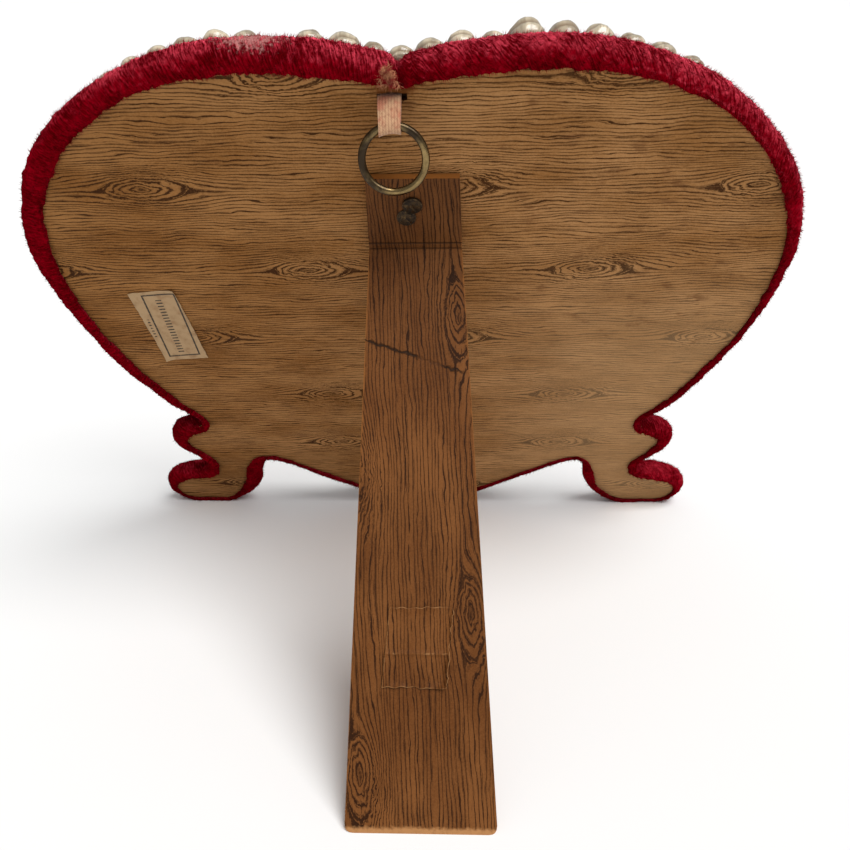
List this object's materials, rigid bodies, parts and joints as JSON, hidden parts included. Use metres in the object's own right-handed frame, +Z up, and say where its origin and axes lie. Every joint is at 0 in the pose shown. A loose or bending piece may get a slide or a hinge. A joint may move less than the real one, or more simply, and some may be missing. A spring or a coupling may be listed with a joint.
{
  "type": "easel-backed shellwork heart",
  "caption": "Heart-shaped velvet ornament on scroll feet, rimmed with pearly shells, with a papered back, a folding card strut and a hanging ring.",
  "frame": {"origin": "on the ground in the middle of the footprint: Z = 0 is the surface that the two soles and the strut's foot stand on", "axes": "+X runs across the heart, to the right seen from behind; +Y is the side that the shells and the cushion face; +Z is up, and the strut reaches towards -Y"},
  "size_m": [0.2126, 0.162, 0.1796],
  "materials": {
    "board_paper": "wood-grain paper printed in dark brown on tan, pasted on card, dull sheen",
    "strut_paper": "darker wood-grain paper on card, rubbed pale at the edges",
    "velvet": "crimson plush velvet, crushed and worn",
    "shell": "pearly grey-cream shell with faint bands",
    "iron": "dark tarnished brad heads",
    "brass": "old brass wire with a dark patina",
    "tape": "faded pink woven tape",
    "label": "toned paper, blank inside a thin ruled border"
  },
  "bodies": {
    "heart": {"heart_board": "board_paper", "velvet_cover": "velvet", "shell_notch": "shell", "shell_tip": "shell", "shell_right_01": "shell", "shell_right_02": "shell", "shell_right_03": "shell", "shell_right_04": "shell", "shell_right_05": "shell", "shell_right_06": "shell", "shell_right_07": "shell", "shell_right_08": "shell", "shell_right_09": "shell", "shell_right_10": "shell", "shell_right_11": "shell", "shell_right_12": "shell", "shell_right_13": "shell", "shell_right_14": "shell", "shell_right_15": "shell", "shell_right_16": "shell", "shell_right_17": "shell", "shell_right_18": "shell", "shell_right_19": "shell", "shell_right_20": "shell", "shell_right_21": "shell", "shell_left_01": "shell", "shell_left_02": "shell", "shell_left_03": "shell", "shell_left_05": "shell", "shell_left_06": "shell", "shell_left_07": "shell", "shell_left_08": "shell", "shell_left_09": "shell", "shell_left_10": "shell", "shell_left_11": "shell", "shell_left_12": "shell", "shell_left_13": "shell", "shell_left_14": "shell", "shell_left_15": "shell", "shell_left_16": "shell", "shell_left_17": "shell", "shell_left_18": "shell", "shell_left_19": "shell", "shell_left_20": "shell", "shell_left_21": "shell", "shell_row_lower_right": "shell", "shell_row_lower_left": "shell", "brad_upper": "iron", "brad_lower": "iron", "label": "label", "strut_plate": "strut_paper", "hanging_tape": "tape", "hanging_ring": "brass"},
    "strut": {"strut_leg": "strut_paper", "stay_remnant": "strut_paper"}
  },
  "joints": [
    {"name": "strut_fold", "type": "hinge", "parent": "heart", "child": "strut", "pos_m": [0.0019, 0.00682, 0.12312], "axis": [1, 0, 0], "range_deg": [0, 61.5]}
  ]
}
